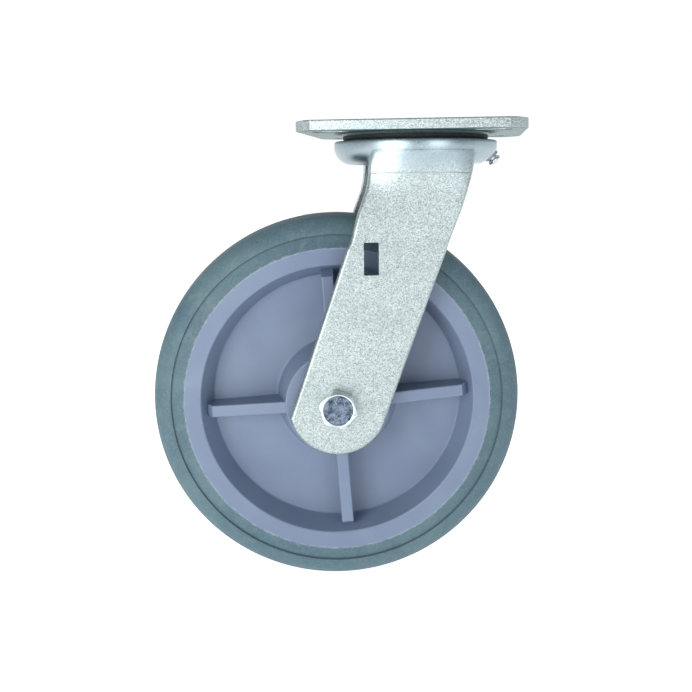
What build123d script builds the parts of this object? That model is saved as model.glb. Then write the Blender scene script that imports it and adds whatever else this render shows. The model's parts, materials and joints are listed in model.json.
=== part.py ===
from build123d import *
from math import asin, atan2, cos, degrees, hypot, radians, sin, sqrt, tan
import os

# A heavy-duty swivel plate caster with a 203 x 50 mm wheel. Millimetres.
# The origin is where the swivel axis meets the top face of the mounting plate. +Z is up, and the
# plate's long side runs along X. At rest the fork stands a few degrees round from the plate, with
# the wheel trailing towards -X and the axle bolt's head at the front, -Y. The fork and the wheel
# are drawn in the fork's own directions: x forward along the fork, y along the axle, z up.
# Contact faces between pieces of one rigid body coincide. Rolling pieces have running clearance.

os.makedirs("parts", exist_ok=True)

# ---- Driving dimensions ----
OVERALL_HEIGHT = 251.0
SWIVEL_LEAD = 45.0
FORK_TURN = 9.0
WHEEL_R = 101.6
AXLE_X = -SWIVEL_LEAD
AXLE_Z = WHEEL_R - OVERALL_HEIGHT

# Mounting plate
PLATE_LENGTH = 119.0
PLATE_WIDTH = 102.0
PLATE_THICKNESS = 5.5
SLOT_SPACING_X = 84.0
SLOT_SPACING_Y = 71.0
SLOT_WIDTH = 11.0
SLOT_LENGTH = 19.0
BOSS_R = 38.6
BOSS_DROP = 3.3
DISH_R = 19.0
DISH_DROP = 7.0
PRESS_SLOPE = 2.0

# Swivel section
BALL_GAP = 0.05
LOAD_BALL_R = 4.7625
LOAD_BALL_COUNT = 20
LOAD_BALL_CIRCLE_R = 33.0
LOAD_BALL_Z = -12.6
THRUST_BALL_R = 3.175
THRUST_BALL_COUNT = 19
THRUST_BALL_CIRCLE_R = 20.5
GROOVE_DEPTH = 1.0
KINGPIN_R = 9.0
KINGPIN_THREAD_R = 8.0
KINGPIN_HEAD_R = 14.0
KINGPIN_HEAD_HEIGHT = 5.0
KINGPIN_NUT_FLATS = 24.0
KINGPIN_NUT_HEIGHT = 10.0
KINGPIN_WASHER_THICKNESS = 2.5
CUP_R = 26.2
CUP_FLOOR = 4.0
CUP_WALL = 2.3

# Fork: pressed crown and two legs
CROWN_R = 44.8
CROWN_TOP = -9.5
CROWN_BOTTOM = -21.9
CROWN_CORNER_R = 9.4
CROWN_WALL = 4.6
CROWN_FLOOR_TOP = -16.4
CROWN_HOLE_R = 14.5
LEG_INNER_Y = 34.0
LEG_THICKNESS = 6.0
LEG_OUTER_Y = LEG_INNER_Y + LEG_THICKNESS
LEG_END_R = 26.0
LEG_EDGE_R = 2.0
LEG_INNER_EDGE_R = 0.6
LEG_CORNER_ANGLE = 193.0
NECK_Z = -66.0
NECK_TRAIL_X = -39.5
NECK_LEAD_X = 13.0
WINDOW_WIDTH = 7.8
WINDOW_HEIGHT = 17.1
WINDOW_X = -26.8
WINDOW_Z = -71.2

# Axle
AXLE_BOLT_R = 6.0
AXLE_FLATS = 18.0
AXLE_HEAD_HEIGHT = 7.5
AXLE_HEAD_TURN = 44.0
AXLE_WASHER_THICKNESS = 2.5
AXLE_NUT_HEX_HEIGHT = 9.5
AXLE_NUT_COLLAR_HEIGHT = 3.0
AXLE_SLEEVE_R = 10.0
COLLAR_R = 13.5

# Wheel
TREAD_EDGE_R = 100.1
TREAD_EDGE_Y = 17.2
RIM_OUTER_R = 83.2
RIM_INNER_R = 74.0
RIM_FACE_Y = 25.0
WEB_OUTER_R = 68.5
WEB_FACE_Y = 10.0
HUB_R = 28.0
HUB_FOOT_R = 33.0
HUB_FACE_Y = 31.0
RIB_COUNT = 4
RIB_WIDTH = 6.5
RIB_EDGE_R = 0.8
WHEEL_TURN = 4.0
CAP_SEAT_R = 26.8
CAP_BACK_Y = 29.3
CAP_THICKNESS = 1.7

# Wheel bearings, 20 x 47 x 14
BEARING_BORE_R = 10.0
BEARING_OUTER_R = 23.5
BEARING_WIDTH = 14.0
BEARING_CENTRE_Y = 22.0
BEARING_PITCH_R = 16.75
BEARING_BALL_R = 3.97
BEARING_BALL_COUNT = 8
INNER_RING_R = 14.2
OUTER_RING_R = 19.3

# ---- Derived places ----
FORK_X = Vector(cos(radians(FORK_TURN)), sin(radians(FORK_TURN)), 0)
FORK_Y = Vector(-sin(radians(FORK_TURN)), cos(radians(FORK_TURN)), 0)
UP = Vector(0, 0, 1)
FORK_SIDE = Plane(origin=(0, 0, 0), x_dir=FORK_X, z_dir=-FORK_Y)
FORK_END = Plane(origin=(0, 0, 0), x_dir=FORK_Y, z_dir=FORK_X)
AXLE = FORK_X * AXLE_X + UP * AXLE_Z
WHEEL_AXIS = Axis(AXLE, FORK_Y)
WHEEL_SECTION = Plane(origin=AXLE, x_dir=FORK_X, z_dir=UP)
BEARING_HALF = BEARING_WIDTH / 2
THRUST_BALL_Z = CROWN_BOTTOM - THRUST_BALL_R + GROOVE_DEPTH
CUP_TOP_Z = THRUST_BALL_Z - THRUST_BALL_R + GROOVE_DEPTH
CUP_BOTTOM_Z = CUP_TOP_Z - CUP_FLOOR
KINGPIN_NUT_Z = CUP_BOTTOM_Z - KINGPIN_WASHER_THICKNESS
AXLE_NUT_Y = LEG_OUTER_Y + AXLE_WASHER_THICKNESS
AXLE_NUT_TOP_Y = AXLE_NUT_Y + AXLE_NUT_HEX_HEIGHT + AXLE_NUT_COLLAR_HEIGHT


def finish(piece, name):
    """Label a finished sub-part and write it as one STEP file."""
    piece.part.label = name
    export_step(piece.part, f"parts/{name}.step")


def axle_plane(y, outward):
    """The plane across the axle at y, whose normal points along the axle, outward +1 or -1."""
    return Plane(origin=AXLE + FORK_Y * y, x_dir=FORK_X, z_dir=FORK_Y * outward)


def hex_prism(plane, flats, height, turn=0.0):
    """A hexagonal head or nut standing on a plane, with its far corners turned off at 30 degrees."""
    face_r = 0.475 * flats
    reach = flats
    section = Plane(origin=plane.origin, x_dir=plane.x_dir, z_dir=plane.x_dir.cross(plane.z_dir))
    with BuildPart() as prism:
        with BuildSketch(plane):
            RegularPolygon(flats / 2, 6, major_radius=False, rotation=turn)
        extrude(amount=height)
        with BuildSketch(section):
            with BuildLine():
                Polyline(
                    (0, 0),
                    (reach, 0),
                    (reach, height - (reach - face_r) * tan(radians(30))),
                    (face_r, height),
                    (0, height),
                    close=True,
                )
            make_face()
        revolve(axis=Axis(plane.origin, plane.z_dir), mode=Mode.INTERSECT)
    return prism.part


def plate_corner(x_sign, y_sign):
    """Three points of a plate corner that is sheared off in two facets, from end to side."""
    x = PLATE_LENGTH / 2
    y = PLATE_WIDTH / 2
    points = [(x, y - 11.2), (x - 5.0, y - 2.5), (x - 9.3, y)]
    return [(x_sign * px, y_sign * py) for px, py in points]


# ---- Mounting plate, pressed down in the middle to form the upper ball race ----
with BuildPart() as top_plate:
    with BuildSketch():
        with BuildLine():
            Polyline(
                *plate_corner(1, 1),
                *reversed(plate_corner(-1, 1)),
                *plate_corner(-1, -1),
                *reversed(plate_corner(1, -1)),
                close=True,
            )
        make_face()
        with GridLocations(SLOT_SPACING_X, SLOT_SPACING_Y, 2, 2):
            SlotOverall(SLOT_LENGTH, SLOT_WIDTH, mode=Mode.SUBTRACT)
    extrude(amount=-PLATE_THICKNESS)
    rims = top_plate.faces().filter_by(Axis.Z).edges()
    fillet(rims, radius=0.7)
    with BuildSketch(Plane.XZ):
        with BuildLine():
            Polyline(
                (0, -1),
                (BOSS_R + PRESS_SLOPE, -1),
                (BOSS_R + PRESS_SLOPE, -PLATE_THICKNESS),
                (BOSS_R, -PLATE_THICKNESS - BOSS_DROP),
                (DISH_R + PRESS_SLOPE, -PLATE_THICKNESS - BOSS_DROP),
                (DISH_R, -PLATE_THICKNESS - DISH_DROP),
                (0, -PLATE_THICKNESS - DISH_DROP),
                close=True,
            )
        make_face()
    revolve(axis=Axis.Z)
    with BuildSketch(Plane.XZ):
        with BuildLine():
            Polyline(
                (0, 1),
                (BOSS_R - PRESS_SLOPE + 1, 1),
                (BOSS_R - PRESS_SLOPE + 1, 0),
                (BOSS_R - 2 * PRESS_SLOPE + 1, -BOSS_DROP),
                (DISH_R - PRESS_SLOPE + 1, -BOSS_DROP),
                (DISH_R - 2 * PRESS_SLOPE + 1, -DISH_DROP),
                (0, -DISH_DROP),
                close=True,
            )
        make_face()
    revolve(axis=Axis.Z, mode=Mode.SUBTRACT)
    with Locations((0, 0, LOAD_BALL_Z)):
        Torus(LOAD_BALL_CIRCLE_R, LOAD_BALL_R + BALL_GAP, mode=Mode.SUBTRACT)
    Cylinder(KINGPIN_R, 60, mode=Mode.SUBTRACT)
finish(top_plate, "top_plate")

# ---- Kingpin: round head in the plate's dish, shank, shoulder and threaded end ----
with BuildPart() as kingpin:
    with BuildSketch(Plane.XZ):
        with BuildLine():
            Polyline(
                (0, KINGPIN_HEAD_HEIGHT - DISH_DROP),
                (KINGPIN_HEAD_R - 1.2, KINGPIN_HEAD_HEIGHT - DISH_DROP),
                (KINGPIN_HEAD_R, KINGPIN_HEAD_HEIGHT - DISH_DROP - 1.2),
                (KINGPIN_HEAD_R, -DISH_DROP),
                (KINGPIN_R, -DISH_DROP),
                (KINGPIN_R, CUP_TOP_Z),
                (KINGPIN_THREAD_R, CUP_TOP_Z),
                (KINGPIN_THREAD_R, KINGPIN_NUT_Z - KINGPIN_NUT_HEIGHT - 1.2),
                (KINGPIN_THREAD_R - 1.2, KINGPIN_NUT_Z - KINGPIN_NUT_HEIGHT - 2.4),
                (0, KINGPIN_NUT_Z - KINGPIN_NUT_HEIGHT - 2.4),
                close=True,
            )
        make_face()
    revolve(axis=Axis.Z)
finish(kingpin, "kingpin")

# ---- Balls of the swivel: a large ring that carries the load and a small one against tipping ----
with BuildPart() as load_balls:
    with Locations((0, 0, LOAD_BALL_Z)):
        with PolarLocations(LOAD_BALL_CIRCLE_R, LOAD_BALL_COUNT):
            Sphere(LOAD_BALL_R)
finish(load_balls, "load_balls")

with BuildPart() as thrust_balls:
    with Locations((0, 0, THRUST_BALL_Z)):
        with PolarLocations(THRUST_BALL_CIRCLE_R, THRUST_BALL_COUNT):
            Sphere(THRUST_BALL_R)
finish(thrust_balls, "thrust_balls")

# ---- Lower race cup, washer and nut, clamped on the kingpin's shoulder ----
with BuildPart() as lower_race_cup:
    with BuildSketch(Plane.XZ):
        with BuildLine():
            Polyline(
                (KINGPIN_THREAD_R, CUP_TOP_Z),
                (CUP_R - CUP_WALL, CUP_TOP_Z),
                (CUP_R - CUP_WALL, CROWN_BOTTOM - 0.7),
                (CUP_R, CROWN_BOTTOM - 0.7),
                (CUP_R, CUP_BOTTOM_Z + 1.5),
                (CUP_R - 1.5, CUP_BOTTOM_Z),
                (KINGPIN_THREAD_R, CUP_BOTTOM_Z),
                close=True,
            )
        make_face()
    revolve(axis=Axis.Z)
    with Locations((0, 0, THRUST_BALL_Z)):
        Torus(THRUST_BALL_CIRCLE_R, THRUST_BALL_R + BALL_GAP, mode=Mode.SUBTRACT)
finish(lower_race_cup, "lower_race_cup")

with BuildPart() as kingpin_washer:
    with BuildSketch(Plane.XY.offset(CUP_BOTTOM_Z)):
        Circle(KINGPIN_HEAD_R + 1)
        Circle(KINGPIN_THREAD_R, mode=Mode.SUBTRACT)
    extrude(amount=-KINGPIN_WASHER_THICKNESS)
finish(kingpin_washer, "kingpin_washer")

NUT_FACE = Plane(origin=(0, 0, KINGPIN_NUT_Z), x_dir=(1, 0, 0), z_dir=(0, 0, -1))
with BuildPart() as kingpin_nut:
    add(hex_prism(NUT_FACE, KINGPIN_NUT_FLATS, KINGPIN_NUT_HEIGHT))
    with BuildSketch(NUT_FACE):
        Circle(KINGPIN_THREAD_R)
    extrude(amount=KINGPIN_NUT_HEIGHT, mode=Mode.SUBTRACT)
finish(kingpin_nut, "kingpin_nut")

# ---- Fork ----
# Below the neck a leg is a flat plate. Its back edge is a tangent to its round end, and its front
# edge meets the end at a corner.
neck_dx = NECK_LEAD_X - AXLE_X
neck_dz = NECK_Z - AXLE_Z
leg_lean = degrees(atan2(neck_dx, neck_dz) - asin(LEG_END_R / hypot(neck_dx, neck_dz)))


def leg_end_point(angle):
    """A point of a leg's round end, by its angle about the axle from +X towards +Z."""
    return (AXLE_X + LEG_END_R * cos(radians(angle)), AXLE_Z + LEG_END_R * sin(radians(angle)))


with BuildPart() as leg:
    with BuildSketch(FORK_SIDE.offset(LEG_INNER_Y)):
        with BuildLine():
            Line((NECK_LEAD_X, NECK_Z), leg_end_point(-leg_lean))
            ThreePointArc(
                leg_end_point(-leg_lean), leg_end_point(-90), leg_end_point(LEG_CORNER_ANGLE)
            )
            Line(leg_end_point(LEG_CORNER_ANGLE), (NECK_TRAIL_X, NECK_Z))
            Line((NECK_TRAIL_X, NECK_Z), (NECK_LEAD_X, NECK_Z))
        make_face()
    extrude(amount=LEG_THICKNESS)
    outer_face = leg.faces().filter_by(WHEEL_AXIS).sort_by(WHEEL_AXIS)[0]
    outer_edges = [edge for edge in outer_face.edges() if edge.center().Z < NECK_Z - 1]
    fillet(outer_edges, radius=LEG_EDGE_R)
    inner_face = leg.faces().filter_by(WHEEL_AXIS).sort_by(WHEEL_AXIS)[-1]
    inner_edges = [edge for edge in inner_face.edges() if edge.center().Z < NECK_Z - 1]
    fillet(inner_edges, radius=LEG_INNER_EDGE_R)

# The neck turns the flat leg into a part of the round crown: level sections, each an arc band
# given by its height, its trail and lead ends, its reach from the middle and its arc radius.
NECK_SECTIONS = [
    (NECK_Z, NECK_TRAIL_X, NECK_LEAD_X, LEG_OUTER_Y, 20000.0),
    (-54.0, -35.4, 17.4, LEG_OUTER_Y, 900.0),
    (-42.0, -31.3, 21.8, LEG_OUTER_Y + 0.1, 240.0),
    (-32.0, -28.2, 25.0, LEG_OUTER_Y + 0.7, 95.0),
    (-24.0, -27.4, 27.0, LEG_OUTER_Y + 2.2, 60.0),
    (-15.5, -25.5, 27.5, CROWN_R - 0.2, CROWN_R - 0.2),
]


def arc_point(x, reach, radius):
    """A point of a level arc whose middle is at the fork's middle line."""
    return (x, -(reach - radius + sqrt(radius**2 - x**2)))


with BuildPart() as neck:
    for z, trail_x, lead_x, reach, radius in NECK_SECTIONS:
        middle_x = (trail_x + lead_x) / 2
        inner_reach = reach - LEG_THICKNESS
        inner_radius = radius - LEG_THICKNESS
        with BuildSketch(Plane(origin=(0, 0, z), x_dir=FORK_X, z_dir=UP)) as section:
            with BuildLine():
                ThreePointArc(*[arc_point(x, reach, radius) for x in (trail_x, middle_x, lead_x)])
                Line(arc_point(lead_x, reach, radius), arc_point(lead_x, inner_reach, inner_radius))
                ThreePointArc(
                    *[arc_point(x, inner_reach, inner_radius) for x in (lead_x, middle_x, trail_x)]
                )
                Line(arc_point(trail_x, inner_reach, inner_radius), arc_point(trail_x, reach, radius))
            make_face()
            corners = section.vertices().sort_by(Axis.Y)
            fillet(corners[:2], radius=LEG_EDGE_R)
            corners = section.vertices().sort_by(Axis.Y)
            fillet(corners[-2:], radius=LEG_INNER_EDGE_R)
    loft()

NIPPLE_TILT = radians(40)
NIPPLE_SEAT = Plane(
    origin=FORK_X * 41.2 - UP * 16.6,
    x_dir=FORK_Y,
    z_dir=FORK_X * sin(NIPPLE_TILT) - UP * cos(NIPPLE_TILT),
)
NIPPLE_SHANK_R = 3.0
NIPPLE_SHANK_LENGTH = 3.0

with BuildPart() as fork_yoke:
    with BuildSketch(Plane.XZ):
        with BuildLine():
            FilletPolyline(
                (0, CROWN_TOP),
                (CROWN_R, CROWN_TOP),
                (CROWN_R, CROWN_BOTTOM),
                (0, CROWN_BOTTOM),
                radius=[1.0, CROWN_CORNER_R],
            )
            Line((0, CROWN_BOTTOM), (0, CROWN_TOP))
        make_face()
    revolve(axis=Axis.Z)
    add(leg.part)
    add(neck.part)
    mirror(leg.part, about=FORK_SIDE)
    mirror(neck.part, about=FORK_SIDE)
    with BuildSketch(Plane.XZ):
        with BuildLine():
            FilletPolyline(
                (0, CROWN_TOP + 1),
                (CROWN_R - CROWN_WALL, CROWN_TOP + 1),
                (CROWN_R - CROWN_WALL, CROWN_FLOOR_TOP),
                (0, CROWN_FLOOR_TOP),
                radius=[0.2, 4.5],
            )
            Line((0, CROWN_FLOOR_TOP), (0, CROWN_TOP + 1))
        make_face()
    revolve(axis=Axis.Z, mode=Mode.SUBTRACT)
    Cylinder(CROWN_HOLE_R, 80, mode=Mode.SUBTRACT)
    with Locations((0, 0, LOAD_BALL_Z)):
        Torus(LOAD_BALL_CIRCLE_R, LOAD_BALL_R + BALL_GAP, mode=Mode.SUBTRACT)
    with Locations((0, 0, THRUST_BALL_Z)):
        Torus(THRUST_BALL_CIRCLE_R, THRUST_BALL_R + BALL_GAP, mode=Mode.SUBTRACT)
    with BuildSketch(NIPPLE_SEAT):
        Circle(30)
    extrude(amount=20, mode=Mode.SUBTRACT)
    with BuildSketch(NIPPLE_SEAT):
        Circle(NIPPLE_SHANK_R)
    extrude(amount=-8, mode=Mode.SUBTRACT)
    with BuildSketch(FORK_SIDE):
        with Locations((AXLE_X, AXLE_Z)):
            Circle(AXLE_BOLT_R + 0.15)
        with Locations((WINDOW_X, WINDOW_Z)):
            RectangleRounded(WINDOW_WIDTH, WINDOW_HEIGHT, 0.5)
    extrude(amount=LEG_OUTER_Y + 1, both=True, mode=Mode.SUBTRACT)
finish(fork_yoke, "fork_yoke")

# ---- Seal ring under the plate, round the ball race, just clear of the crown's rim ----
SEAL_OUTER_R = 43.4
SEAL_INNER_R = 40.9
SEAL_GAP = 0.3
with BuildPart() as raceway_seal:
    with BuildSketch(Plane.XY.offset(CROWN_TOP + SEAL_GAP)):
        Circle(SEAL_OUTER_R)
        Circle(SEAL_INNER_R, mode=Mode.SUBTRACT)
    extrude(amount=-PLATE_THICKNESS - CROWN_TOP - SEAL_GAP)
finish(raceway_seal, "raceway_seal")

# ---- Grease nipple on the flat at the crown's lower corner ----
NIPPLE_FLATS = 8.0
NIPPLE_HEX_HEIGHT = 2.6
with BuildPart() as grease_nipple:
    add(hex_prism(NIPPLE_SEAT, NIPPLE_FLATS, NIPPLE_HEX_HEIGHT))
    with BuildSketch(NIPPLE_SEAT):
        Circle(NIPPLE_SHANK_R)
    extrude(amount=-NIPPLE_SHANK_LENGTH)
    with BuildSketch(Plane(NIPPLE_SEAT.origin, x_dir=FORK_Y, z_dir=NIPPLE_SEAT.z_dir.cross(FORK_Y))):
        with BuildLine():
            Polyline((0, -1), (2.8, -1), (2.8, -3.4), (3.7, -4.1), (3.7, -5.0), (1.6, -6.4), (0, -6.4))
            Line((0, -6.4), (0, -1))
        make_face()
    revolve(axis=Axis(NIPPLE_SEAT.origin, NIPPLE_SEAT.z_dir))
finish(grease_nipple, "grease_nipple")

# ---- Axle: bolt, sleeve that the legs clamp, collars, washer and locking nut ----
with BuildPart() as axle_bolt:
    add(hex_prism(axle_plane(-LEG_OUTER_Y, -1), AXLE_FLATS, AXLE_HEAD_HEIGHT, AXLE_HEAD_TURN))
    with BuildSketch(axle_plane(-LEG_OUTER_Y, 1)):
        Circle(AXLE_BOLT_R)
    extrude(amount=LEG_OUTER_Y + AXLE_NUT_TOP_Y + 2.5)
    chamfer(axle_bolt.edges().sort_by(WHEEL_AXIS)[-1], length=1.0)
finish(axle_bolt, "axle_bolt")

with BuildPart() as axle_washer:
    with BuildSketch(axle_plane(LEG_OUTER_Y, 1)):
        Circle(12)
        Circle(AXLE_BOLT_R + 0.25, mode=Mode.SUBTRACT)
    extrude(amount=AXLE_WASHER_THICKNESS)
    fillet(axle_washer.edges().sort_by(WHEEL_AXIS)[-2:], radius=0.3)
finish(axle_washer, "axle_washer")

INSERT_R = 7.3
INSERT_LENGTH = 2.0
INSERT_Y = AXLE_NUT_TOP_Y - 0.8 - INSERT_LENGTH
with BuildPart() as axle_nut:
    add(hex_prism(axle_plane(AXLE_NUT_Y, 1), AXLE_FLATS, AXLE_NUT_HEX_HEIGHT, 17))
    with BuildSketch(axle_plane(AXLE_NUT_Y, 1)):
        Circle(8.2)
    extrude(amount=AXLE_NUT_HEX_HEIGHT + AXLE_NUT_COLLAR_HEIGHT)
    fillet(axle_nut.edges().sort_by(WHEEL_AXIS)[-1], radius=1.0)
    with BuildSketch(axle_plane(AXLE_NUT_Y, 1)):
        Circle(AXLE_BOLT_R)
    extrude(amount=20, mode=Mode.SUBTRACT)
    with BuildSketch(axle_plane(INSERT_Y, 1)):
        Circle(INSERT_R)
    extrude(amount=INSERT_LENGTH, mode=Mode.SUBTRACT)
    with BuildSketch(axle_plane(INSERT_Y, 1)):
        Circle(AXLE_BOLT_R + 0.5)
    extrude(amount=20, mode=Mode.SUBTRACT)
finish(axle_nut, "axle_nut")

with BuildPart() as nut_insert:
    with BuildSketch(axle_plane(INSERT_Y, 1)):
        Circle(INSERT_R)
        Circle(AXLE_BOLT_R, mode=Mode.SUBTRACT)
    extrude(amount=INSERT_LENGTH)
finish(nut_insert, "nut_insert")

with BuildPart() as axle_sleeve:
    with BuildSketch(axle_plane(-LEG_INNER_Y, 1)):
        Circle(AXLE_SLEEVE_R)
        Circle(AXLE_BOLT_R + 0.15, mode=Mode.SUBTRACT)
    extrude(amount=2 * LEG_INNER_Y)
finish(axle_sleeve, "axle_sleeve")

SPACER_HALF = BEARING_CENTRE_Y - BEARING_HALF
with BuildPart() as bearing_spacer:
    with BuildSketch(axle_plane(-SPACER_HALF, 1)):
        Circle(COLLAR_R - 0.5)
        Circle(AXLE_SLEEVE_R, mode=Mode.SUBTRACT)
    extrude(amount=2 * SPACER_HALF)
finish(bearing_spacer, "bearing_spacer")

# ---- Bearings, collars and dust caps, the same at the front (-Y) and at the rear (+Y) ----
for end, side in (("front", -1), ("rear", 1)):
    bearing_plane = axle_plane(side * BEARING_CENTRE_Y, 1)
    bearing_back = axle_plane(side * BEARING_CENTRE_Y - BEARING_HALF, 1)
    bearing_face_y = BEARING_CENTRE_Y + BEARING_HALF

    with BuildPart() as inner_ring:
        with BuildSketch(bearing_back):
            Circle(INNER_RING_R)
            Circle(BEARING_BORE_R, mode=Mode.SUBTRACT)
        extrude(amount=BEARING_WIDTH)
        with Locations(bearing_plane):
            Torus(BEARING_PITCH_R, BEARING_BALL_R + BALL_GAP, mode=Mode.SUBTRACT)
    finish(inner_ring, f"{end}_bearing_inner_ring")

    with BuildPart() as outer_ring:
        with BuildSketch(bearing_back):
            Circle(BEARING_OUTER_R)
            Circle(OUTER_RING_R, mode=Mode.SUBTRACT)
        extrude(amount=BEARING_WIDTH)
        with Locations(bearing_plane):
            Torus(BEARING_PITCH_R, BEARING_BALL_R + BALL_GAP, mode=Mode.SUBTRACT)
    finish(outer_ring, f"{end}_bearing_outer_ring")

    with BuildPart() as bearing_balls:
        with Locations(bearing_plane):
            with PolarLocations(BEARING_PITCH_R, BEARING_BALL_COUNT):
                Sphere(BEARING_BALL_R)
    finish(bearing_balls, f"{end}_bearing_balls")

    with BuildPart() as cage:
        with BuildSketch(bearing_plane):
            Circle(BEARING_PITCH_R + 1.1)
            Circle(BEARING_PITCH_R - 1.1, mode=Mode.SUBTRACT)
        extrude(amount=BEARING_BALL_R + 0.9, both=True)
        with Locations(bearing_plane):
            with PolarLocations(BEARING_PITCH_R, BEARING_BALL_COUNT):
                Cylinder(BEARING_BALL_R + 0.12, 8, rotation=(0, 90, 0), mode=Mode.SUBTRACT)
    finish(cage, f"{end}_bearing_cage")

    with BuildPart() as seals:
        for seal_side in (-1, 1):
            seal_y = side * BEARING_CENTRE_Y + seal_side * (BEARING_HALF - 0.8)
            with BuildSketch(axle_plane(seal_y, 1)):
                Circle(OUTER_RING_R)
                Circle(INNER_RING_R + 0.3, mode=Mode.SUBTRACT)
            extrude(amount=0.4, both=True)
    finish(seals, f"{end}_bearing_seals")

    with BuildPart() as collar:
        with BuildSketch(axle_plane(side * bearing_face_y, side)):
            Circle(COLLAR_R)
            Circle(AXLE_SLEEVE_R, mode=Mode.SUBTRACT)
        extrude(amount=LEG_INNER_Y - bearing_face_y)
    finish(collar, f"{end}_collar")

    with BuildPart() as dust_cap:
        with BuildSketch(axle_plane(side * CAP_BACK_Y, side)):
            Circle(CAP_SEAT_R)
            Circle(COLLAR_R + 0.5, mode=Mode.SUBTRACT)
        extrude(amount=CAP_THICKNESS)
    finish(dust_cap, f"{end}_dust_cap")

# ---- Wheel core: hub, web, rim and ribs in one moulding ----
RIM_LOCK_R = 80.5
RIM_LOCK_Y = 17.0
RIM_EDGE_Y = 21.0
RIB_OUTER_R = 68.0
RIB_HUB_Y = 30.0

with BuildPart() as wheel_core:
    with BuildSketch(WHEEL_SECTION):
        with BuildLine():
            FilletPolyline(
                (CAP_SEAT_R, HUB_FACE_Y),
                (HUB_R, HUB_FACE_Y),
                (HUB_FOOT_R, WEB_FACE_Y),
                (WEB_OUTER_R, WEB_FACE_Y),
                (RIM_INNER_R, RIM_FACE_Y),
                (RIM_OUTER_R, RIM_FACE_Y),
                radius=[0.8, 1.5, 1.2, 1.0],
            )
            Polyline(
                (RIM_OUTER_R, RIM_FACE_Y),
                (RIM_OUTER_R, RIM_EDGE_Y),
                (RIM_LOCK_R, RIM_LOCK_Y),
                (RIM_LOCK_R, 0),
            )
            Polyline(
                (CAP_SEAT_R, HUB_FACE_Y),
                (CAP_SEAT_R, CAP_BACK_Y),
                (BEARING_OUTER_R, CAP_BACK_Y),
                (BEARING_OUTER_R, SPACER_HALF),
                (BEARING_OUTER_R - 2.5, SPACER_HALF),
                (BEARING_OUTER_R - 2.5, 0),
            )
            mirror(about=Plane.XZ)
        make_face()
    revolve(axis=WHEEL_AXIS)
    for rib in range(RIB_COUNT):
        angle = radians(90 + WHEEL_TURN + rib * 360 / RIB_COUNT)
        outward = FORK_X * cos(angle) + UP * sin(angle)
        with BuildSketch(Plane(origin=AXLE, x_dir=outward, z_dir=outward.cross(FORK_Y))):
            with BuildLine():
                Polyline(
                    (HUB_FOOT_R - 4, 0),
                    (HUB_R - 1, RIB_HUB_Y),
                    (RIB_OUTER_R, RIM_FACE_Y),
                    (RIB_OUTER_R + 3.8, RIM_FACE_Y - 7),
                    (RIB_OUTER_R + 3.8, 0),
                )
                mirror(about=Plane.XZ)
            make_face()
        extrude(amount=RIB_WIDTH / 2, both=True)
    rib_length = RIB_OUTER_R - HUB_R
    rib_tops = [
        edge
        for edge in wheel_core.edges().filter_by(GeomType.LINE)
        if edge.length > rib_length - 3 and abs((edge.center() - AXLE).dot(FORK_Y)) > RIM_FACE_Y
    ]
    fillet(rib_tops, radius=RIB_EDGE_R)
finish(wheel_core, "wheel_core")

# ---- Tyre: moulded round the core, with a stepped sidewall and a crowned tread ----
with BuildPart() as tyre:
    with BuildSketch(WHEEL_SECTION):
        with BuildLine():
            Polyline(
                (RIM_LOCK_R, 0),
                (RIM_LOCK_R, RIM_LOCK_Y),
                (RIM_OUTER_R, RIM_EDGE_Y),
                (RIM_OUTER_R, RIM_FACE_Y),
                (90.0, 22.9),
                (90.5, 23.8),
            )
            ThreePointArc((90.5, 23.8), (96.4, 21.6), (TREAD_EDGE_R, TREAD_EDGE_Y))
            mirror(about=Plane.XZ)
            ThreePointArc((TREAD_EDGE_R, TREAD_EDGE_Y), (WHEEL_R, 0), (TREAD_EDGE_R, -TREAD_EDGE_Y))
        make_face()
    revolve(axis=WHEEL_AXIS)
    shoulders = [
        edge
        for edge in tyre.edges().filter_by(GeomType.CIRCLE)
        if abs(edge.radius - TREAD_EDGE_R) < 0.01
    ]
    fillet(shoulders, radius=0.8)
finish(tyre, "tyre")
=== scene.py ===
import json
from math import cos, pi, radians, sin

import bmesh
import bpy
from mathutils import Matrix, Vector


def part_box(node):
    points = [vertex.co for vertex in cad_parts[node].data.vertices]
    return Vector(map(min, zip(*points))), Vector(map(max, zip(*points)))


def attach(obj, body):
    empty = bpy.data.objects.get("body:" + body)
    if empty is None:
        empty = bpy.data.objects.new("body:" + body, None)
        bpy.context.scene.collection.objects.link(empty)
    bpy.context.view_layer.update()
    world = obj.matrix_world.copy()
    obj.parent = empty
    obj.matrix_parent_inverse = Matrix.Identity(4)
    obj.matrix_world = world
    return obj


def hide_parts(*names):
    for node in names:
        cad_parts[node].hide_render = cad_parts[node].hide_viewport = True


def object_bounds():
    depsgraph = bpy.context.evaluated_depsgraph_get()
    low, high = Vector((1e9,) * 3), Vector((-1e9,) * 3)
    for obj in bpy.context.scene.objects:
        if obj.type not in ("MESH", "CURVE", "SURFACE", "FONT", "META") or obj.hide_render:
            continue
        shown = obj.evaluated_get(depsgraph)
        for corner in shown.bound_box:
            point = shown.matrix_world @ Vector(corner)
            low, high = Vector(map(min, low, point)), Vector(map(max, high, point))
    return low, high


# A heavy-duty swivel plate caster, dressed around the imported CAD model. Metres, in the CAD frame.

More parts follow.
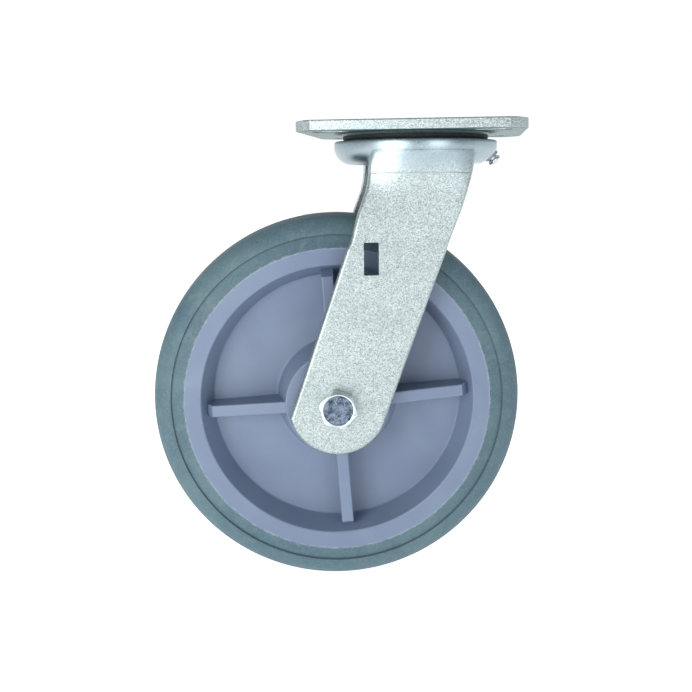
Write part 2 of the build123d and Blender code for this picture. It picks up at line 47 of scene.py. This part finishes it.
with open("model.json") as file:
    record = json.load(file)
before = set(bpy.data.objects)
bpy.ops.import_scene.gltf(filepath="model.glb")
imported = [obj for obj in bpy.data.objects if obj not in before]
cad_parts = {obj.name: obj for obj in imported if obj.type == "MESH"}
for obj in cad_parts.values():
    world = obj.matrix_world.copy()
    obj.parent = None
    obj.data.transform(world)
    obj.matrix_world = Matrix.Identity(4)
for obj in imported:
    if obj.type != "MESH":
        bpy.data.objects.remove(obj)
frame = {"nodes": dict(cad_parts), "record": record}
cad_low, cad_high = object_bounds()
scene = bpy.context.scene
MM = 0.001

# ---- The wheel's axis: the fork stands a few degrees round from the plate at rest ----
wheel_joint = next(j for j in frame["record"]["behaviour"]["joints"] if j["name"] == "wheel_spin")
AXLE = Vector(wheel_joint["pos_m"])
AXLE_DIR = Vector(wheel_joint["axis"]).normalized()
UP = Vector((0, 0, 1))

# ---- Sizes in the materials: heights on the pressed steel, radii round the axle, and widths ----
UNDERSIDE_HIGH = -5.2 * MM
UNDERSIDE_LOW = -8.1 * MM
MASK_EDGE = 0.2 * MM
DRAWN_HIGH = -20.0 * MM
DRAWN_LOW = -30.0 * MM
DRAWN_WANDER = 12.0 * MM
PRESS_LINE = -26.9 * MM
PRESS_LINE_HALF = 0.3 * MM
EASED_R = 2.8 * MM
CORE_EDGE_R = 83.2 * MM
TYRE_CREASE_R = 90.0 * MM


# ---- Shader nodes ----
class Nodes:
    """Adds and links the nodes of one node tree."""

    def __init__(self, tree):
        self.tree = tree

    def add(self, kind, inputs=(), **settings):
        node = self.tree.nodes.new(kind)
        for key, value in settings.items():
            setattr(node, key, value)
        for socket, value in dict(inputs).items():
            if isinstance(value, bpy.types.NodeSocket):
                self.tree.links.new(value, node.inputs[socket])
            else:
                node.inputs[socket].default_value = value
        return node

    def math(self, operation, a, b):
        return self.add("ShaderNodeMath", {0: a, 1: b}, operation=operation).outputs[0]

    def span(self, value, low, high, out_low=0.0, out_high=1.0):
        """Maps low..high to out_low..out_high, and stops at both ends."""
        inputs = {"Value": value, "From Min": low, "From Max": high, "To Min": out_low, "To Max": out_high}
        return self.add("ShaderNodeMapRange", inputs).outputs["Result"]

    def band(self, value, middle, half):
        """1 in the middle, fading to 0 at a distance of half on either side."""
        rise = self.span(value, middle - half, middle)
        return self.math("MULTIPLY", rise, self.span(value, middle + half, middle))


class Finish(Nodes):
    """A material under construction, in the piece's own coordinates."""

    def __init__(self, name, **sockets):
        self.material = bpy.data.materials.new(name)
        self.material.use_nodes = True
        super().__init__(self.material.node_tree)
        self.shader = self.tree.nodes["Principled BSDF"]
        for socket, value in sockets.items():
            self.shader.inputs[socket.replace("_", " ")].default_value = value
        self.coords = self.add("ShaderNodeTexCoord").outputs["Object"]

    def noise(self, scale, detail=3.0, roughness=0.55, distortion=0.0):
        inputs = {"Vector": self.coords, "Scale": scale, "Detail": detail,
                  "Roughness": roughness, "Distortion": distortion}
        return self.add("ShaderNodeTexNoise", inputs).outputs["Fac"]

    def cells(self, scale):
        node = self.add("ShaderNodeTexVoronoi", {"Vector": self.coords, "Scale": scale})
        return self.add("ShaderNodeSeparateColor", {"Color": node.outputs["Color"]}).outputs["Red"]

    def blend(self, factor, a, b):
        return self.add("ShaderNodeMix", {0: factor, 6: a, 7: b}, data_type="RGBA").outputs[2]

    def vector(self, operation, *inputs):
        return self.add("ShaderNodeVectorMath", dict(enumerate(inputs)), operation=operation)

    def from_axle(self):
        """Distance from the wheel's axis."""
        arm = self.vector("SUBTRACT", self.coords, AXLE).outputs[0]
        square = self.vector("CROSS_PRODUCT", arm, AXLE_DIR).outputs[0]
        return self.vector("LENGTH", square).outputs["Value"]

    def set(self, socket, value):
        self.tree.links.new(value, self.shader.inputs[socket])

    def bump(self, height, distance, strength, normal=None):
        inputs = {"Height": height, "Distance": distance, "Strength": strength}
        if normal is not None:
            inputs["Normal"] = normal
        return self.add("ShaderNodeBump", inputs).outputs["Normal"]


def rgb(r, g, b):
    return (r, g, b, 1.0)


# ---- Materials ----
def zinc_sheet():
    """Pressed steel under bright zinc: flecked on flat stock, smooth and bluish where the crown is drawn.

    The plate's underside and the boss's sides are painted dark as shade from the gap above the crown, and a
    rounded normal eases the bend between the crown and the legs.
    """
    f = Finish("zinc_sheet", Metallic=1.0, Roughness=0.42)
    height = f.add("ShaderNodeSeparateXYZ", {"Vector": f.coords}).outputs["Z"]
    clouds = f.noise(45.0, detail=5.0, roughness=0.6)
    wander = f.math("MULTIPLY", f.math("SUBTRACT", clouds, 0.5), DRAWN_WANDER)
    above_legs = f.span(f.math("ADD", height, wander), DRAWN_LOW, DRAWN_HIGH)
    below_plate = f.span(height, UNDERSIDE_LOW + MASK_EDGE, UNDERSIDE_LOW - MASK_EDGE)
    drawn = f.math("MULTIPLY", above_legs, below_plate)
    # Painted shade: the plate's underside and the boss's sides, in the gap above the crown, are darkened as
    # if shadowed.
    above_crown = f.span(height, UNDERSIDE_LOW - MASK_EDGE, UNDERSIDE_LOW + MASK_EDGE)
    below_edge = f.span(height, UNDERSIDE_HIGH + MASK_EDGE, UNDERSIDE_HIGH - MASK_EDGE)
    under = f.math("MULTIPLY", above_crown, below_edge)

    crystals = f.cells(1900.0)
    fine = f.noise(1700.0, detail=2.0, roughness=0.7)
    sparkle = f.math("ADD", f.span(crystals, 0.1, 0.9, 0.0, 0.5), f.span(fine, 0.34, 0.62, 0.0, 0.5))
    colour = f.blend(sparkle, rgb(0.165, 0.215, 0.23), rgb(0.57, 0.635, 0.635))
    colour = f.blend(f.span(clouds, 0.5, 0.72, 0.0, 0.35), colour, rgb(0.26, 0.32, 0.33))
    smooth = f.blend(f.span(clouds, 0.35, 0.65), rgb(0.27, 0.355, 0.405), rgb(0.37, 0.44, 0.475))
    colour = f.blend(f.math("MULTIPLY", drawn, 0.75), colour, smooth)
    # The underside mask paints shade there: the steel turns dark blue-grey.
    f.set("Base Color", f.blend(f.math("MULTIPLY", under, 0.9), colour, rgb(0.10, 0.17, 0.18)))
    rough = f.span(f.math("ADD", sparkle, clouds), 0.4, 1.6, 0.36, 0.5)
    f.set("Roughness", f.math("SUBTRACT", rough, f.math("MULTIPLY", drawn, 0.1)))

    calm = f.span(drawn, 0.0, 1.0, 1.0, 0.25)
    grain = f.math("MULTIPLY", f.math("ADD", fine, sparkle), calm)
    press_line = f.math("MULTIPLY", f.band(height, PRESS_LINE, PRESS_LINE_HALF), 4.0)
    ease_radius = f.math("MULTIPLY", drawn, EASED_R)
    eased = f.add("ShaderNodeBevel", {"Radius": ease_radius}, samples=6).outputs["Normal"]
    f.set("Normal", f.bump(f.math("SUBTRACT", grain, press_line), 0.03 * MM, 0.8, eased))
    return f.material


def zinc_part():
    """A zinc-plated fastener: smoother and brighter than the sheet, with small blotches in the plating."""
    f = Finish("zinc_part", Metallic=1.0, Roughness=0.3)
    blotches = f.noise(420.0, detail=5.0, roughness=0.6)
    fine = f.noise(2200.0, detail=2.0)
    colour = f.blend(f.span(blotches, 0.45, 0.65, 0.0, 0.8), rgb(0.66, 0.71, 0.73), rgb(0.34, 0.39, 0.45))
    f.set("Base Color", f.blend(f.span(fine, 0.35, 0.65, 0.0, 0.3), colour, rgb(0.8, 0.83, 0.83)))
    f.set("Roughness", f.span(blotches, 0.3, 0.7, 0.24, 0.42))
    f.set("Normal", f.bump(blotches, 0.03 * MM, 0.7))
    return f.material


def mottle_and_shade_face():
    """The bolt head's face: plating mottled blue-grey, darkened overall as painted shade in place of a dark
    reflection.
    """
    f = Finish("bolt_face", Metallic=0.9, Roughness=0.5)
    blotches = f.noise(300.0, detail=6.0, roughness=0.7)
    fine = f.noise(1500.0, detail=2.0)
    # Painted shade: the dark base colour stands in for a dark reflection on the face; the blotches are the
    # plating's own mottling.
    colour = f.blend(f.span(blotches, 0.40, 0.62), rgb(0.03, 0.045, 0.07), rgb(0.20, 0.26, 0.36))
    f.set("Base Color", f.blend(f.span(fine, 0.55, 0.75, 0.0, 0.6), colour, rgb(0.45, 0.5, 0.55)))
    f.set("Roughness", f.span(blotches, 0.3, 0.7, 0.42, 0.6))
    f.set("Normal", f.bump(blotches, 0.06 * MM, 0.8))
    return f.material


def turned_steel():
    """Bare turned steel: a light haze over a fine grain."""
    f = Finish("turned_steel", Metallic=1.0, Roughness=0.3)
    haze = f.noise(500.0, detail=4.0)
    f.set("Base Color", f.blend(f.span(haze, 0.3, 0.7), rgb(0.42, 0.43, 0.45), rgb(0.62, 0.63, 0.64)))
    f.set("Roughness", f.span(haze, 0.3, 0.7, 0.25, 0.42))
    f.set("Normal", f.bump(f.noise(1500.0), 0.03 * MM, 0.6))
    return f.material


def ground_steel():
    """Ground and polished bearing steel."""
    f = Finish("ground_steel", Metallic=1.0, Roughness=0.12)
    haze = f.noise(300.0, detail=4.0)
    f.set("Base Color", f.blend(f.span(haze, 0.3, 0.7), rgb(0.60, 0.60, 0.61), rgb(0.72, 0.72, 0.73)))
    f.set("Roughness", f.span(haze, 0.3, 0.7, 0.08, 0.2))
    return f.material


def black_rubber():
    """Matt black rubber of the seals."""
    f = Finish("black_rubber", Roughness=0.6, Specular_IOR_Level=0.25)
    grain = f.noise(1400.0)
    f.set("Base Color", f.blend(f.span(grain, 0.3, 0.7), rgb(0.010, 0.011, 0.010), rgb(0.035, 0.038, 0.036)))
    f.set("Roughness", f.span(grain, 0.3, 0.7, 0.5, 0.7))
    f.set("Normal", f.bump(grain, 0.05 * MM, 0.6))
    return f.material


def moulded_plastic(name, dark, light, rubbed_r=None):
    """Satin moulded plastic: flow clouds, fine grain, a few scuffs, and a pale rub from rubbed_r outwards."""
    f = Finish(name, Roughness=0.42, Specular_IOR_Level=0.45)
    flow = f.noise(26.0, detail=5.0, roughness=0.5, distortion=0.6)
    grain = f.noise(1600.0, detail=2.0)
    colour = f.blend(f.span(flow, 0.3, 0.7), dark, light)
    if rubbed_r is not None:
        outer = f.span(f.from_axle(), rubbed_r - 1.0 * MM, rubbed_r)
        rubbed = f.math("MULTIPLY", outer, f.span(f.noise(300.0), 0.4, 0.6))
        colour = f.blend(f.math("MULTIPLY", rubbed, 0.35), colour, rgb(0.42, 0.48, 0.56))
    scuffs = f.noise(150.0, detail=6.0, roughness=0.75, distortion=2.0)
    f.set("Base Color", f.blend(f.span(scuffs, 0.64, 0.74, 0.0, 0.3), colour, rgb(0.40, 0.46, 0.54)))
    f.set("Roughness", f.span(f.math("ADD", flow, grain), 0.7, 1.3, 0.36, 0.5))
    f.set("Normal", f.bump(grain, 0.04 * MM, 0.5))
    return f.material


def tyre_rubber():
    """Grey moulded rubber: greenish smears, a painted shade line along the step in the wall, and pale flash
    beside the core.
    """
    f = Finish("tyre_rubber", Roughness=0.6, Specular_IOR_Level=0.35)
    radius = f.from_axle()
    clouds = f.noise(26.0, detail=7.0, roughness=0.65, distortion=0.8)
    smears = f.noise(95.0, detail=6.0, roughness=0.7, distortion=1.6)
    grain = f.noise(1100.0, detail=3.0)
    colour = f.blend(f.span(clouds, 0.35, 0.66), rgb(0.050, 0.106, 0.145), rgb(0.085, 0.152, 0.180))
    colour = f.blend(f.span(smears, 0.52, 0.68, 0.0, 0.4), colour, rgb(0.15, 0.22, 0.22))
    colour = f.blend(f.span(grain, 0.4, 0.7, 0.0, 0.45), colour, rgb(0.15, 0.20, 0.215))
    beside_core = f.span(radius, CORE_EDGE_R + 1.0 * MM, CORE_EDGE_R + 0.2 * MM)
    flash = f.math("MULTIPLY", beside_core, f.span(f.noise(520.0, detail=5.0), 0.42, 0.66))
    colour = f.blend(f.math("MULTIPLY", flash, 0.32), colour, rgb(0.42, 0.49, 0.5))
    # Painted shade: a dark line at the step in the tyre's wall, where shade falls.
    outside = f.span(radius, TYRE_CREASE_R - 0.8 * MM, TYRE_CREASE_R - 0.1 * MM)
    inside = f.span(radius, TYRE_CREASE_R + 0.7 * MM, TYRE_CREASE_R + 0.1 * MM)
    painted_crease_shade = f.math("MULTIPLY", f.math("MULTIPLY", outside, inside), 0.4)
    f.set("Base Color", f.blend(painted_crease_shade, colour, rgb(0.03, 0.055, 0.065)))
    f.set("Roughness", f.span(f.math("ADD", clouds, grain), 0.6, 1.4, 0.5, 0.72))
    f.set("Normal", f.bump(f.math("ADD", grain, f.math("MULTIPLY", flash, 1.5)), 0.08 * MM, 0.6))
    return f.material


ZINC_PART = zinc_part()
BLACK_RUBBER = black_rubber()
CORE_SHADES = rgb(0.138, 0.182, 0.280), rgb(0.166, 0.217, 0.312)
FINISHES = {
    "zinc_steel": zinc_sheet(),
    "zinc_fastener": ZINC_PART,
    "turned_steel": turned_steel(),
    "bearing_steel": ground_steel(),
    "seal_rubber": BLACK_RUBBER,
    "nylon": moulded_plastic("nylon_insert", rgb(0.05, 0.13, 0.38), rgb(0.08, 0.18, 0.45)),
    "cap_plastic": moulded_plastic("cap_plastic", *CORE_SHADES),
    "core_plastic": moulded_plastic("core_plastic", *CORE_SHADES, rubbed_r=CORE_EDGE_R),
    "tyre_rubber": tyre_rubber(),
}

# ---- Each CAD node gets the material of its slot ----
SLOTS = {part["node"]: part["material_slot"] for part in frame["record"]["subparts"]}
for name, node in frame["nodes"].items():
    node.data.materials.clear()
    node.data.materials.append(FINISHES[SLOTS[name]])


# ---- Turned pieces: rings of points round an axis ----
def turned(name, origin, axis, start, rings, materials, segments=96):
    """A closed surface through rings round an axis. A ring is a radius, a height and a material's index.

    The radius may be a function of angle and height, and the height a function of angle.
    """
    across = axis.cross(start)
    points = []
    for radius, height, _ in rings:
        for k in range(segments):
            angle = 2 * pi * k / segments
            h = height(angle) if callable(height) else height
            r = radius(angle, h) if callable(radius) else radius
            points.append(origin + axis * h + (start * cos(angle) + across * sin(angle)) * r)
    faces = []
    tones = []
    for ring in range(len(rings) - 1):
        near, far = ring * segments, (ring + 1) * segments
        for k in range(segments):
            following = (k + 1) % segments
            faces.append((near + k, near + following, far + following, far + k))
            tones.append(rings[ring][2])
    mesh = bpy.data.meshes.new(name)
    mesh.from_pydata(points, [], faces)
    for material in materials:
        mesh.materials.append(material)
    mesh.polygons.foreach_set("material_index", tones)
    shape = bmesh.new()
    shape.from_mesh(mesh)
    bmesh.ops.remove_doubles(shape, verts=shape.verts, dist=1e-6)
    bmesh.ops.recalc_face_normals(shape, faces=shape.faces)
    shape.to_mesh(mesh)
    shape.free()
    mesh.shade_smooth()
    mesh.set_sharp_from_angle(angle=radians(28))
    piece = bpy.data.objects.new(name, mesh)
    scene.collection.objects.link(piece)
    return piece


def thread(root, crest, pitch, low, high):
    """Radius of a screw thread. Its grooves grow out of a full shank at low, and its ridge ends at high."""
    def radius(angle, height):
        phase = (height / pitch - angle / (2 * pi)) % 1.0
        ridge = min(1.0, 1.25 * (1.0 - abs(2.0 * phase - 1.0)))
        fade = min(1.0, max(0.0, height - low) / pitch, max(0.0, high - height) / pitch)
        past_middle = height > (low + high) / 2
        return root + (crest - root) * (ridge * fade if past_middle else 1.0 - (1.0 - ridge) * fade)
    return radius


# ---- Axle bolt: a hex head with a chamfer and a mottled face darkened with painted shade, and a real thread for the nut ----
# Heights run along the axle from the middle of the wheel, towards the nut.
HEAD_FLATS = 18.0 * MM
HEAD_ROUND_R = 10.26 * MM
HEAD_FACE = -47.5 * MM
HEAD_BACK = -40.0 * MM
FACE_R = 8.5 * MM
FACE_SUNK = 0.3 * MM
CHAMFER_SLOPE = 0.55
SHANK_R = 6.0 * MM
ROOT_R = 5.2 * MM
PITCH = 1.75 * MM
THREAD_START = 34.0 * MM
THREAD_END = 56.5 * MM
THREAD_FADE_END = 56.9 * MM
THREAD_STEPS = 96
BOLT_END = 57.5 * MM
# Material indices: plated zinc, and the head's face, mottled and painted dark as shade.
PLATED, MOTTLE_AND_SHADE = 0, 1


def from_axis(point):
    offset = Vector(point) - AXLE
    return offset - AXLE_DIR * offset.dot(AXLE_DIR)


def hexagon(angle, height=0.0):
    """The head's outline, the same at every height, with its corners turned down to a circle."""
    turn = (angle % (pi / 3)) - pi / 6
    return min(HEAD_FLATS / 2 / cos(turn), HEAD_ROUND_R)


def chamfer_line(angle):
    return HEAD_FACE + (hexagon(angle) - FACE_R) * CHAMFER_SLOPE


# The hexagon starts from a corner of the CAD bolt's head.
bolt_points = [vertex.co for vertex in frame["nodes"]["axle_bolt"].data.vertices]
head_points = [point for point in bolt_points if (point - AXLE).dot(AXLE_DIR) < HEAD_BACK]
corner_way = max(map(from_axis, head_points), key=lambda offset: offset.length).normalized()

head_rings = [
    (0.0, HEAD_FACE + FACE_SUNK, MOTTLE_AND_SHADE),
    (4.0 * MM, HEAD_FACE + FACE_SUNK, MOTTLE_AND_SHADE),
    (7.6 * MM, HEAD_FACE + FACE_SUNK, MOTTLE_AND_SHADE),
    (7.9 * MM, HEAD_FACE + 0.1 * MM, PLATED),
    (8.15 * MM, HEAD_FACE, PLATED),
    (FACE_R, HEAD_FACE, PLATED),
    (hexagon, chamfer_line, PLATED),
    (hexagon, HEAD_BACK - 0.5 * MM, PLATED),
    (8.7 * MM, HEAD_BACK, PLATED),
]
shank_rings = [(SHANK_R, HEAD_BACK, PLATED), (SHANK_R, THREAD_START, PLATED)]
bolt_thread = thread(ROOT_R, SHANK_R, PITCH, THREAD_START, THREAD_FADE_END)
thread_rings = [
    (bolt_thread, THREAD_START + (THREAD_END - THREAD_START) * k / THREAD_STEPS, PLATED)
    for k in range(THREAD_STEPS + 1)
]
end_rings = [
    (5.0 * MM, BOLT_END - 0.7 * MM, PLATED),
    (4.6 * MM, BOLT_END, PLATED),
    (0.0, BOLT_END, PLATED),
]
bolt_rings = head_rings + shank_rings + thread_rings + end_rings
bolt = turned("axle_bolt_turned", AXLE, AXLE_DIR, corner_way, bolt_rings, [ZINC_PART, mottle_and_shade_face()])
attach(bolt, "fork")
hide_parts("axle_bolt")

# ---- Seal ring: a rubber lip that bulges round the pressed race under the plate ----
SEAL_INNER_R = 38.7 * MM
SEAL_FOOT_R = 39.2 * MM
seal_low, seal_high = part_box("raceway_seal")
seal_depth = seal_high.z - seal_low.z
bulge = [(39.4 * MM, 0.0), (39.9 * MM, 0.9 * MM), (40.1 * MM, 1.9 * MM), (39.8 * MM, 2.9 * MM)]
foot = [(SEAL_FOOT_R, seal_depth), (SEAL_INNER_R, seal_depth)]
seal_outline = [(SEAL_INNER_R, 0.0), *bulge, *foot, (SEAL_INNER_R, 0.0)]
seal_rings = [(radius, seal_high.z - drop, 0) for radius, drop in seal_outline]
seal = turned("raceway_seal_lip", Vector((0, 0, 0)), UP, Vector((1, 0, 0)), seal_rings, [BLACK_RUBBER],
              segments=144)
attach(seal, "mount_plate")
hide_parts("raceway_seal")

# ---- Floor: pale, with some light of its own ----
FLOOR_REACH = 6.0
FLOOR_GAP = 0.2 * MM
floor_z = cad_low.z - FLOOR_GAP
floor_corners = [(x * FLOOR_REACH, y * FLOOR_REACH, floor_z) for x, y in ((-1, -1), (1, -1), (1, 1), (-1, 1))]
floor_mesh = bpy.data.meshes.new("floor")
floor_mesh.from_pydata(floor_corners, [], [(0, 1, 2, 3)])
floor = bpy.data.objects.new("floor", floor_mesh)
scene.collection.objects.link(floor)
floor_finish = Finish("floor_white", Base_Color=rgb(0.95, 0.95, 0.95), Roughness=0.8,
                      Emission_Color=rgb(1.0, 1.0, 1.0), Emission_Strength=0.82)
floor_mesh.materials.append(floor_finish.material)

# ---- Light: a pale room, darker overhead and on the camera's side (-Y), and two softboxes ----
BACK_GLOW = 1.06
FRONT_GLOW = 0.62
BACK_OVERHEAD = 0.75
FRONT_OVERHEAD = 0.4
scene.view_settings.view_transform = "Standard"
world = bpy.data.worlds.new("room")
scene.world = world
world.use_nodes = True
room = Nodes(world.node_tree)
direction = room.add("ShaderNodeTexCoord").outputs["Generated"]
way = room.add("ShaderNodeSeparateXYZ", {"Vector": direction}).outputs
around = room.span(way["Y"], -0.3, 0.4, FRONT_GLOW, BACK_GLOW)
overhead = room.span(way["Y"], -0.2, 0.5, FRONT_OVERHEAD, BACK_OVERHEAD)
glow = room.math("MULTIPLY", around, room.span(way["Z"], 0.26, 0.5, 1.0, overhead))
background = world.node_tree.nodes["Background"]
background.inputs["Color"].default_value = rgb(0.95, 0.975, 1.0)
world.node_tree.links.new(glow, background.inputs["Strength"])


def softbox(name, place, target, width, height, power, tint):
    """A soft light that the camera doesn't see."""
    light = bpy.data.lights.new(name, "AREA")
    light.shape = "RECTANGLE"
    light.size, light.size_y = width, height
    light.energy = power
    light.color = tint
    lamp = bpy.data.objects.new(name, light)
    lamp.location = place
    lamp.rotation_euler = (Vector(target) - Vector(place)).to_track_quat("-Z", "Y").to_euler()
    lamp.visible_camera = False
    scene.collection.objects.link(lamp)


softbox("softbox_left", place=(-0.36, -0.70, -0.04), target=(-0.05, 0, -0.12), width=0.4, height=0.4,
        power=3.3, tint=(1.0, 0.99, 0.95))
softbox("softbox_right", place=(0.75, -1.10, -0.15), target=(0, 0, -0.12), width=0.6, height=0.9,
        power=4.5, tint=(1.0, 1.0, 1.0))

# ---- Camera: the photograph's view, fitted to the wheel's rings with less lens shift. Angles in degrees ----
CAMERA_PLACE = Vector((31.41, -518.46, -32.2)) * MM
CAMERA_PAN = 6.92
CAMERA_DOWN = 6.824
CAMERA_ROLL = -0.577
camera_data = bpy.data.cameras.new("camera")
camera_data.sensor_width = 36.0
camera_data.lens = 48.086
camera_data.shift_x = -0.0206
camera_data.shift_y = -0.0751
camera_data.clip_start = 0.01
camera = bpy.data.objects.new("camera", camera_data)
pan = Matrix.Rotation(radians(CAMERA_PAN), 4, "Z")
tilt = Matrix.Rotation(radians(90 - CAMERA_DOWN), 4, "X")
roll = Matrix.Rotation(radians(CAMERA_ROLL), 4, "Z")
camera.matrix_world = Matrix.Translation(CAMERA_PLACE) @ pan @ tilt @ roll
scene.collection.objects.link(camera)
scene.camera = camera
